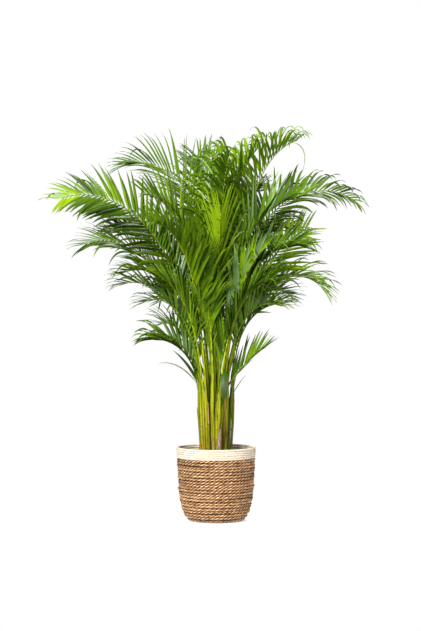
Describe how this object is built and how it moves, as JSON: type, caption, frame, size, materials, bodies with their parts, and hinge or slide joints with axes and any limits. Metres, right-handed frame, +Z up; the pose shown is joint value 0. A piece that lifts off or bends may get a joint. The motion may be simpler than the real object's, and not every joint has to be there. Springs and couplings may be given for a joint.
{
  "type": "areca palm in a seagrass basket",
  "caption": "Tall clumping areca palm with arching feather fronds on slender yellow-green canes, potted inside a round twisted-seagrass basket with a white rope rim.",
  "frame": {"origin": "centre of the basket's flat underside, on the floor", "axes": "+Z up, from the floor to the top of the crown; -Y is the front, the side seen in the picture; +X is to the right seen from the front"},
  "size_m": [1.201, 1.0512, 1.4542],
  "materials": {
    "seagrass_rope": "coarse twisted seagrass rope",
    "white_rope": "matte off-white rope",
    "pot_plastic": "thin matte nursery pot",
    "potting_soil": "moist crumbly potting soil",
    "cane_skin": "smooth yellow-green cane with ring scars",
    "frond_leaf": "satin green leaflets on a yellow-green rib"
  },
  "bodies": {
    "root": {"basket": "seagrass_rope", "rim_band": "white_rope", "nursery_pot": "pot_plastic", "soil": "potting_soil", "cane_01": "cane_skin", "cane_02": "cane_skin", "cane_03": "cane_skin", "cane_04": "cane_skin", "cane_05": "cane_skin", "cane_06": "cane_skin", "cane_07": "cane_skin", "cane_08": "cane_skin", "cane_09": "cane_skin", "cane_10": "cane_skin", "cane_11": "cane_skin", "cane_12": "cane_skin", "cane_13": "cane_skin", "cane_14": "cane_skin", "cane_15": "cane_skin", "cane_16": "cane_skin", "frond_left_long": "frond_leaf", "frond_left_high": "frond_leaf", "frond_left_mid": "frond_leaf", "frond_left_low": "frond_leaf", "frond_left_lower": "frond_leaf", "frond_left_bottom": "frond_leaf", "frond_top_centre": "frond_leaf", "frond_top_right": "frond_leaf", "frond_right_high": "frond_leaf", "frond_right_mid": "frond_leaf", "frond_right_low": "frond_leaf", "frond_right_lower": "frond_leaf", "frond_right_bottom": "frond_leaf", "frond_front_left": "frond_leaf", "frond_front_left_high": "frond_leaf", "frond_front_centre": "frond_leaf", "frond_front_bright": "frond_leaf", "frond_front_pale": "frond_leaf", "frond_front_right": "frond_leaf", "frond_front_low_left": "frond_leaf", "frond_front_low_right": "frond_leaf", "frond_back_right": "frond_leaf", "frond_back_high_right": "frond_leaf", "frond_back_middle": "frond_leaf", "frond_back_high_left": "frond_leaf", "frond_back_left": "frond_leaf", "frond_back_far_left": "frond_leaf", "frond_back_low_right": "frond_leaf", "frond_back_low_middle": "frond_leaf", "frond_back_low_left": "frond_leaf", "frond_side_low_left": "frond_leaf", "frond_back_bottom": "frond_leaf", "frond_side_high_right": "frond_leaf", "frond_side_mid_right": "frond_leaf", "frond_side_mid_left": "frond_leaf", "frond_side_low_right": "frond_leaf", "frond_top_front": "frond_leaf", "frond_stub_left": "frond_leaf", "frond_stub_middle": "frond_leaf", "frond_stub_right": "frond_leaf"}
  },
  "joints": []
}
